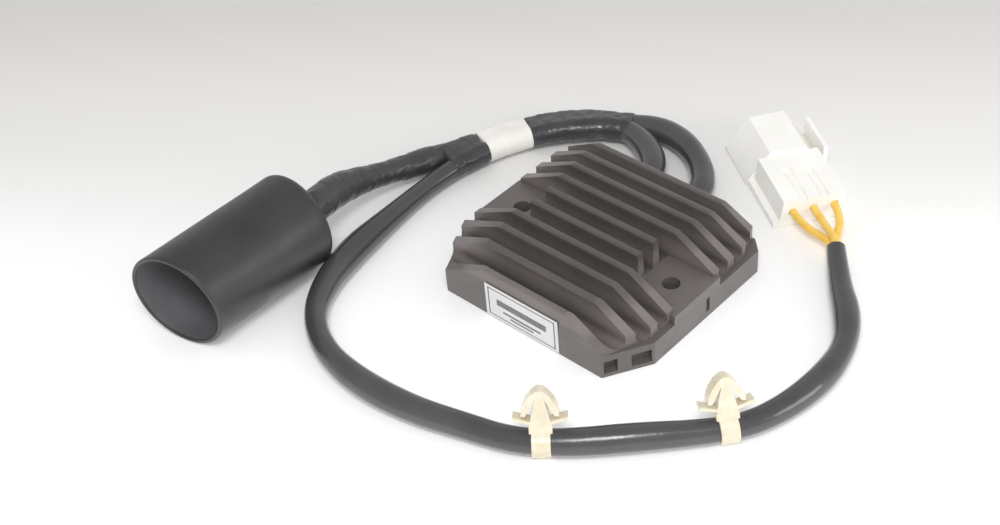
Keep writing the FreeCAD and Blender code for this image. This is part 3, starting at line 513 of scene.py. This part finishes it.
def boot_rings():
    """Radius, distance from the back and share of the mouth's slant, from the bore out and back in."""
    rings = [(BOOT_BORE, 0.0, 0.0), (BOOT_BACK_RING, 0.0, 0.0)]
    half_wall = BOOT_WALL / 2
    rim = BOOT_LENGTH - half_wall
    for k in range(BOOT_CURVE_STEPS + 1):
        turn = math.radians(90 * k / BOOT_CURVE_STEPS)
        rings.append((BOOT_RADIUS - BOOT_CORNER * (1 - math.sin(turn)), BOOT_CORNER * (1 - math.cos(turn)), 0.0))
    for k in range(1, BOOT_STEPS + 1):
        back = BOOT_CORNER + (rim - BOOT_CORNER) * k / BOOT_STEPS
        rings.append((BOOT_RADIUS, back, k / BOOT_STEPS))
    for k in range(1, BOOT_CURVE_STEPS):
        turn = math.radians(180 * k / BOOT_CURVE_STEPS)
        rings.append((BOOT_RADIUS - half_wall * (1 - math.cos(turn)), rim + half_wall * math.sin(turn), 1.0))
    for k in range(BOOT_STEPS + 1):
        back = rim - (rim - BOOT_END) * k / BOOT_STEPS
        rings.append((BOOT_RADIUS - BOOT_WALL, back, 1 - k / BOOT_STEPS))
    rings.append((BOOT_BORE, BOOT_END, 0.0))
    return rings


def build_boot():
    rings = boot_rings()
    vertices, faces = [], []
    for radius, back, slanted in rings:
        for k in range(BOOT_SAMPLES):
            angle = 2 * math.pi * k / BOOT_SAMPLES
            spot = Vector((math.cos(angle) * 0.8, math.sin(angle) * 0.8, back * 0.03))
            held = min(1.0, back / BOOT_DENT_START) * (radius > BOOT_DENT_START)
            dent = BOOT_DENT * max(0.0, noise.noise(spot)) * held
            x, z = math.cos(angle) * (radius - dent), math.sin(angle) * (radius - dent)
            y = BOOT_BACK - back + x * BOOT_SLANT * slanted
            vertices.append(Vector((BOOT_AXIS[0] + x, y, max(BOOT_AXIS[1] + z, BOOT_FLOOR))) * MM)
    for i in range(len(rings)):
        here, ahead = i * BOOT_SAMPLES, (i + 1) % len(rings) * BOOT_SAMPLES
        for k in range(BOOT_SAMPLES):
            following = (k + 1) % BOOT_SAMPLES
            faces.append((here + k, ahead + k, ahead + following, here + following))
    skin = mesh_object("boot_shell", vertices, faces, boot_skin)
    skin.data.materials.append(boot_inside_painted_light)
    # The inside faces take the lighter grey of painted light
    first_inside = len(rings) - (BOOT_STEPS + 2)
    for index, polygon in enumerate(skin.data.polygons):
        if index // BOOT_SAMPLES >= first_inside:
            polygon.material_index = 1
    smooth_by_angle(skin, BOOT_SMOOTH_ANGLE)
    return skin


boot = build_boot()
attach(boot, "root")
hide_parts("rubber_boot")


# Three insulated wires from the stator sleeve's end into the connector

CONNECTOR_PLACE = (46.2, 72.2)
CONNECTOR_TURN = math.radians(145)
SLEEVE_END_FROM = Vector((78.0, 46.6, 5.0))
WIRE_RADIUS = 1.45
WIRE_PITCH = 8.2
WIRE_HEIGHT = 6.2
WIRE_BUNDLE_STEP = 1.5
WIRE_BUNDLE_RISE = {-1: -0.85, 0: 1.7, 1: -0.85}


def in_connector(x, y, z):
    """A point of the connector's own frame, in the frame of the whole part."""
    cosine, sine = math.cos(CONNECTOR_TURN), math.sin(CONNECTOR_TURN)
    return Vector((CONNECTOR_PLACE[0] + x * cosine - y * sine, CONNECTOR_PLACE[1] + x * sine + y * cosine, z))


def build_wire(number):
    row = number - 2
    end = Vector(STATOR_ROUTE[-1])
    toward = (end - SLEEVE_END_FROM).normalized()
    side = toward.cross(UP).normalized()
    rise = side.cross(toward)
    start = end + side * (-row * WIRE_BUNDLE_STEP) + rise * WIRE_BUNDLE_RISE[row]
    points = [tuple(point) for point in (
        start - toward * 3, start + toward * 2.2, start + toward * 5.5,
        in_connector(-7.5, row * WIRE_PITCH, WIRE_HEIGHT), in_connector(3.6, row * WIRE_PITCH, WIRE_HEIGHT))]
    wire = cord_curve("wire_skin_%d" % number, points, [SLEEVE_RADIUS] * len(points), WIRE_RADIUS, yellow)
    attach(wire, "root")
    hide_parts("stator_wire_%d" % number)
    return wire


wires = [build_wire(number) for number in (1, 2, 3)]

for sleeve, node in ((output_sleeve, "output_sleeve"), (stator_sleeve, "stator_sleeve")):
    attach(sleeve, "root")
    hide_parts(node)

output_pieces = ["output_grommet", "output_connector", boot, binding, marker, joint, branch]
output_pieces += [name for name in nodes if name.startswith(("output_terminal", "output_lead"))]
stator_pieces = ["stator_grommet", "stator_connector", "harness_clip_1", "harness_clip_2", *wires]
stator_pieces += [name for name in nodes if name.startswith("stator_terminal")]


# Finishes of the CAD pieces

FINISHES = {
    "heat_sink_housing": casting,
    "blank_label": paper,
    "potting_compound": resin,
    "output_grommet": grommet_skin,
    "stator_grommet": grommet_skin,
    "stator_connector": ivory,
    "harness_clip_1": clear_nylon,
    "harness_clip_2": clear_nylon,
}
for name, obj in nodes.items():
    if "terminal" in name:
        material = brass
    elif name.startswith("stator_wire"):
        material = yellow
    else:
        material = FINISHES.get(name, dark_plastic)
    paint(obj, material)
    smooth_by_angle(obj)

bevel(nodes["heat_sink_housing"], 0.7)
bevel(nodes["stator_connector"], 0.5)
bevel(nodes["harness_clip_1"], 0.35, segments=2)
bevel(nodes["harness_clip_2"], 0.35, segments=2)


# Blank label: a border and plain bars in place of print

PRINT_OUT, PRINT_IN = 0.04, 0.02
PRINT_BARS = {
    "label_rule_low": (0.04, 0.96, 0.07, 0.10),
    "label_rule_high": (0.04, 0.96, 0.90, 0.93),
    "label_rule_left": (0.04, 0.055, 0.07, 0.93),
    "label_rule_right": (0.945, 0.96, 0.07, 0.93),
    "label_bar_main": (0.16, 0.84, 0.47, 0.66),
    "label_bar_second": (0.24, 0.76, 0.29, 0.35),
    "label_bar_third": (0.34, 0.66, 0.19, 0.24),
}

label_low, label_high = [Vector(corner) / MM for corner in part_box("blank_label")]


def print_bar(name, x_low, x_high, z_low, z_high):
    """A bar on the label's face, placed by shares of its width and height."""
    span_x = label_high.x - label_low.x
    span_z = label_high.z - label_low.z
    low = (label_low.x + x_low * span_x, label_low.y - PRINT_OUT, label_low.z + z_low * span_z)
    high = (label_low.x + x_high * span_x, label_low.y + PRINT_IN, label_low.z + z_high * span_z)
    bar = flat_box(name, low, high, print_grey)
    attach(bar, "root")


for name, spans in PRINT_BARS.items():
    print_bar(name, *spans)


# Camera, fitted to the photograph

CAMERA_PLACE = (285.3, -323.0, 382.0)
CAMERA_YAW = 46.059
CAMERA_PITCH = 40.963
CAMERA_ROLL = 5.643
CAMERA_LENS = 56.24
SENSOR_WIDTH = 36

yaw, pitch, roll = (math.radians(value) for value in (CAMERA_YAW, CAMERA_PITCH, CAMERA_ROLL))
ahead = Vector((-math.sin(yaw) * math.cos(pitch), math.cos(yaw) * math.cos(pitch), -math.sin(pitch)))
right = Vector((math.cos(yaw), math.sin(yaw), 0))
above = right.cross(ahead)
rolled_right = right * math.cos(roll) - above * math.sin(roll)
rolled_above = above * math.cos(roll) + right * math.sin(roll)
turn = Matrix((rolled_right, rolled_above, -ahead)).transposed().to_4x4()

camera_data = bpy.data.cameras.new("camera")
camera_data.sensor_width = SENSOR_WIDTH
camera_data.lens = CAMERA_LENS
camera_data.clip_start = 0.01
camera = in_scene("camera", camera_data)
camera.matrix_world = Matrix.Translation(Vector(CAMERA_PLACE) * MM) @ turn
bpy.context.scene.camera = camera


# Floor: painted shade, its grey deepening toward the back left; it glows faintly to the camera and, as painted
# reflection, four times as strongly in reflections

FLOOR_LOW, FLOOR_HIGH = (-1500, -1500, -2.2), (1500, 1500, -0.2)
TONE_DIRECTION = (-0.58, 0.81, 0.0)
TONE_FROM, TONE_TO = -0.05, 0.19
# Painted shade on the floor: greys deepening along the tone direction
FLOOR_TONES = [(0.0, (0.92, 0.92, 0.92)), (0.26, (0.90, 0.90, 0.90)), (0.40, (0.83, 0.825, 0.815)),
               (0.66, (0.77, 0.76, 0.745)), (0.95, (0.67, 0.655, 0.64))]
# The glow fades toward the back left with the painted shade
FLOOR_GLOWS = [(0.0, (0.16, 0.16, 0.16)), (0.24, (0.10, 0.10, 0.10)),
               (0.5, (0.03, 0.03, 0.03)), (0.9, (0.03, 0.03, 0.03))]
# Painted reflection: the floor glows four times as strongly in reflections as to the camera
PAINTED_REFLECTION_GLOW = 4.0

backdrop = node_material("floor", (0.9, 0.9, 0.9), roughness=0.9, specular=0.2)
floor = flat_box("floor", FLOOR_LOW, FLOOR_HIGH, backdrop)
place = add_node(backdrop, "ShaderNodeTexCoord")
along = add_node(backdrop, "ShaderNodeVectorMath")
along.operation = "DOT_PRODUCT"
along.inputs[1].default_value = TONE_DIRECTION
spread = add_node(backdrop, "ShaderNodeMapRange", From_Min=TONE_FROM, From_Max=TONE_TO)
tone = add_ramp(backdrop, FLOOR_TONES)
extra = add_ramp(backdrop, FLOOR_GLOWS)
path = add_node(backdrop, "ShaderNodeLightPath")
seen = add_node(backdrop, "ShaderNodeMath")
seen.operation = "MULTIPLY_ADD"
seen.inputs[1].default_value = PAINTED_REFLECTION_GLOW
glow = add_node(backdrop, "ShaderNodeVectorMath")
glow.operation = "SCALE"
floor_shader = shader_of(backdrop)
floor_shader.inputs["Emission Strength"].default_value = 1.0
link(backdrop, place, "Object", along, 0)
link(backdrop, along, "Value", spread, "Value")
link(backdrop, spread, "Result", tone, "Fac")
link(backdrop, spread, "Result", extra, "Fac")
link(backdrop, tone, "Color", floor_shader, "Base Color")
link(backdrop, path, "Is Glossy Ray", seen, 0)
link(backdrop, path, "Is Camera Ray", seen, 2)
link(backdrop, extra, "Color", glow, 0)
link(backdrop, seen, "Value", glow, "Scale")
link(backdrop, glow, "Vector", floor_shader, "Emission Color")


# Light: two soft lamps and a sky that is brightest at the horizon

SKY_TONES = [(0.0, (1.0, 1.0, 1.0)), (0.9, (0.52, 0.52, 0.52))]


def area_light(name, place, size, power):
    """A rectangular lamp that faces the origin."""
    data = bpy.data.lights.new(name, "AREA")
    data.shape = "RECTANGLE"
    data.size, data.size_y = size
    data.energy = power
    obj = in_scene(name, data)
    obj.location = place
    obj.rotation_euler = (-Vector(place)).to_track_quat("-Z", "Y").to_euler()


area_light("key", (0.35, -0.40, 0.78), (0.30, 0.26), 4.3)
area_light("side", (0.78, 0.26, 0.26), (0.30, 0.30), 1.4)

world = bpy.data.worlds.new("world")
bpy.context.scene.world = world
world.use_nodes = True
direction = add_node(world, "ShaderNodeTexCoord")
split = add_node(world, "ShaderNodeSeparateXYZ")
shade = add_ramp(world, SKY_TONES)
background = world.node_tree.nodes["Background"]
background.inputs["Strength"].default_value = 1.0
link(world, direction, "Generated", split, "Vector")
link(world, split, "Z", shade, "Fac")
link(world, shade, "Color", background, "Color")
bpy.context.scene.view_settings.view_transform = "Standard"
